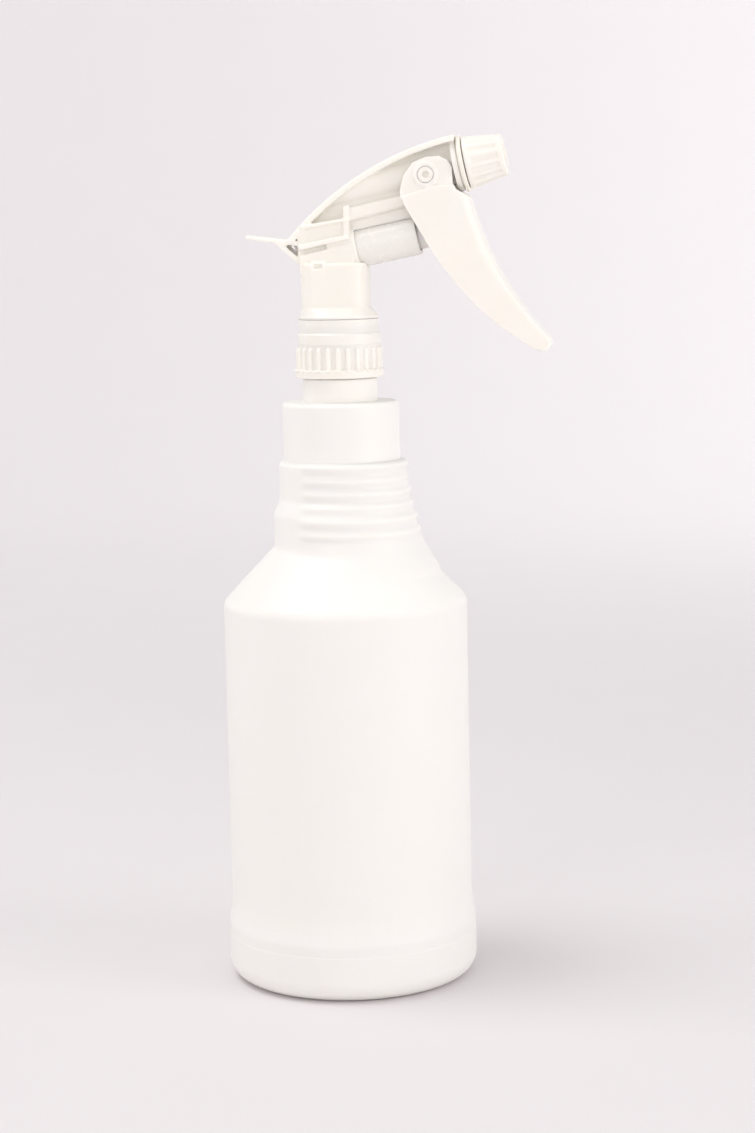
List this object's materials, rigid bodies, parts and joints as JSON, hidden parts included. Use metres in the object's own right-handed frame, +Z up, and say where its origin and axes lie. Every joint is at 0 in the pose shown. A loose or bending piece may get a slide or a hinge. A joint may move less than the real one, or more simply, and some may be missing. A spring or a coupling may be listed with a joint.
{
  "type": "trigger spray bottle",
  "caption": "Round translucent bottle with a ribbed finger grip, screw closure and open-frame trigger sprayer with a fluted adjustable nozzle.",
  "frame": {"origin": "centre of the bottle's base, on the surface it stands on", "axes": "+Z up along the bottle, +X the way it sprays, symmetric about the XZ plane"},
  "size_m": [0.1245, 0.0932, 0.3099],
  "materials": {
    "bottle_shell": "translucent natural polyethylene, satin",
    "ivory_frame": "semi-gloss moulded",
    "ivory_closure": "semi-gloss moulded",
    "ivory_trigger": "semi-gloss moulded",
    "ivory_barrel": "semi-gloss moulded",
    "ivory_cap": "semi-gloss moulded",
    "natural_insert": "satin",
    "clear_tube": "translucent, satin",
    "soft_seal": "matt",
    "black_seal": "matt",
    "steel": "drawn wire and polished ball"
  },
  "bodies": {
    "bottle": {"bottle": "bottle_shell"},
    "sprayer": {"sprayer_body": "ivory_frame", "tube_retainer": "natural_insert", "retainer_seal": "black_seal", "neck_gasket": "soft_seal", "dip_tube": "clear_tube", "pump_barrel": "ivory_barrel", "barrel_gasket": "soft_seal", "return_spring": "steel", "discharge_spring": "steel", "nozzle_adapter": "ivory_barrel", "spinner": "natural_insert"},
    "collar": {"collar": "ivory_closure"},
    "trigger": {"trigger": "ivory_trigger"},
    "piston": {"piston": "natural_insert", "piston_cup": "black_seal", "piston_wiper": "black_seal"},
    "intake_ball": {"intake_ball": "steel"},
    "discharge_valve": {"discharge_valve": "natural_insert"},
    "cap_seal": {"nozzle_seal": "soft_seal"},
    "nozzle_cap": {"nozzle_cap": "ivory_cap", "orifice_insert": "natural_insert"}
  },
  "joints": [
    {"name": "sprayer_rise", "type": "slide", "parent": "bottle", "child": "sprayer", "axis": [0, 0, 1], "range_m": [0, 0.00635]},
    {"name": "collar_turn", "type": "hinge", "parent": "sprayer", "child": "collar", "pos_m": [0, 0, 0.235], "axis": [0, 0, 1], "range_deg": [0, 540]},
    {"name": "trigger_pull", "type": "hinge", "parent": "sprayer", "child": "trigger", "pos_m": [0.03395, 0, 0.296], "axis": [0, 1, 0], "range_deg": [0, 22], "stiffness_Nm_per_rad": 0.5, "springref_deg": -11.46},
    {"name": "piston_stroke", "type": "slide", "parent": "sprayer", "child": "piston", "axis": [-0.9816, 0, -0.1908], "range_m": [0, 0.0084], "deforming": ["return_spring"]},
    {"name": "intake_ball_lift", "type": "slide", "parent": "sprayer", "child": "intake_ball", "axis": [0, 0, 1], "range_m": [0, 0.002]},
    {"name": "discharge_valve_lift", "type": "slide", "parent": "sprayer", "child": "discharge_valve", "axis": [0.9816, 0, 0.1908], "range_m": [0, 0.0012], "stiffness_N_per_m": 40, "springref_m": -0.003, "deforming": ["discharge_spring"]},
    {"name": "nozzle_travel", "type": "slide", "parent": "sprayer", "child": "cap_seal", "axis": [0.9816, 0, 0.1908], "range_m": [0, 0.0025]},
    {"name": "nozzle_turn", "type": "hinge", "parent": "cap_seal", "child": "nozzle_cap", "pos_m": [0.048, 0, 0.3], "axis": [0.9816, 0, 0.1908], "range_deg": [0, 360]}
  ],
  "couplings": [
    {"joint": "collar_turn", "follows": "sprayer_rise", "rad_per_m": 1484.3},
    {"joint": "piston_stroke", "follows": "trigger_pull", "m_per_rad": 0.0217},
    {"joint": "nozzle_turn", "follows": "nozzle_travel", "rad_per_m": 2513.3}
  ]
}
